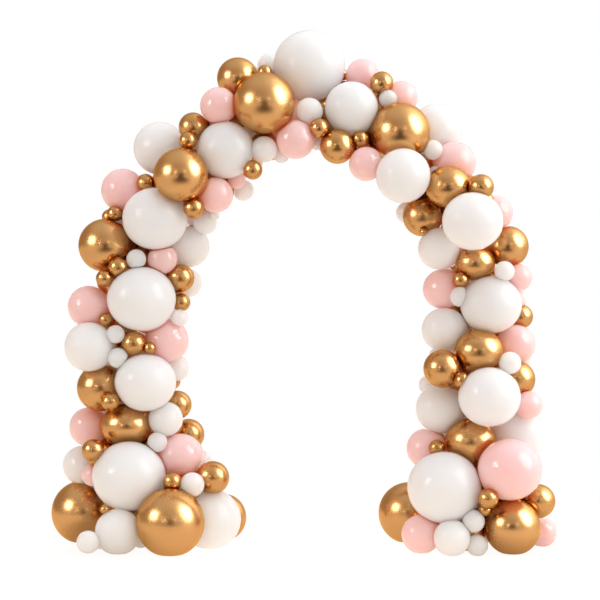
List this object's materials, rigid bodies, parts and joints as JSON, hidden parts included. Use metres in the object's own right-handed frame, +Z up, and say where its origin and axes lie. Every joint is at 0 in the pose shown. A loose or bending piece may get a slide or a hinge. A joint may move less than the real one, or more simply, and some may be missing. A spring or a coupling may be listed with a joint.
{
  "type": "balloon arch",
  "caption": "Free-standing garland arch of white, blush pink and chrome gold balloons in mixed sizes, with a heaped foot at each end.",
  "frame": {"origin": "on the floor, under the middle of the arch's box", "axes": "+X across the arch, from its left foot to its right as seen from the front; +Y from front to back; +Z up"},
  "size_m": [2.64, 0.874, 2.6747],
  "materials": {
    "white": "glossy opaque white latex",
    "pink": "glossy opaque blush pink latex",
    "gold": "mirror-like chrome gold latex"
  },
  "bodies": {
    "root": {"crown_gold_1": "gold", "crown_gold_2": "gold", "crown_gold_3": "gold", "crown_white_1": "white", "crown_white_2": "white", "crown_white_3": "white", "left_foot_gold_1": "gold", "left_foot_gold_2": "gold", "left_foot_gold_3": "gold", "left_foot_pink_1": "pink", "left_foot_white_1": "white", "left_foot_white_2": "white", "left_foot_white_3": "white", "left_foot_white_4": "white", "left_leg_gold_1": "gold", "left_leg_gold_2": "gold", "left_leg_gold_3": "gold", "left_leg_gold_4": "gold", "left_leg_gold_5": "gold", "left_leg_pink_1": "pink", "left_leg_pink_2": "pink", "left_leg_pink_3": "pink", "left_leg_white_1": "white", "left_leg_white_2": "white", "left_leg_white_3": "white", "left_leg_white_4": "white", "left_leg_white_5": "white", "left_shoulder_gold_1": "gold", "left_shoulder_pink_1": "pink", "left_shoulder_white_1": "white", "left_shoulder_white_2": "white", "left_shoulder_white_3": "white", "right_foot_gold_1": "gold", "right_foot_gold_2": "gold", "right_foot_pink_1": "pink", "right_foot_pink_2": "pink", "right_foot_white_1": "white", "right_foot_white_2": "white", "right_leg_gold_1": "gold", "right_leg_gold_2": "gold", "right_leg_gold_3": "gold", "right_leg_gold_4": "gold", "right_leg_gold_5": "gold", "right_leg_pink_1": "pink", "right_leg_pink_2": "pink", "right_leg_pink_3": "pink", "right_leg_white_1": "white", "right_leg_white_2": "white", "right_leg_white_3": "white", "right_leg_white_4": "white", "right_leg_white_5": "white", "right_leg_white_6": "white", "right_leg_white_7": "white", "right_leg_white_8": "white", "right_shoulder_gold_1": "gold", "right_shoulder_gold_2": "gold", "right_shoulder_pink_1": "pink", "right_shoulder_white_1": "white", "right_shoulder_white_2": "white", "right_shoulder_white_3": "white"}
  },
  "joints": []
}
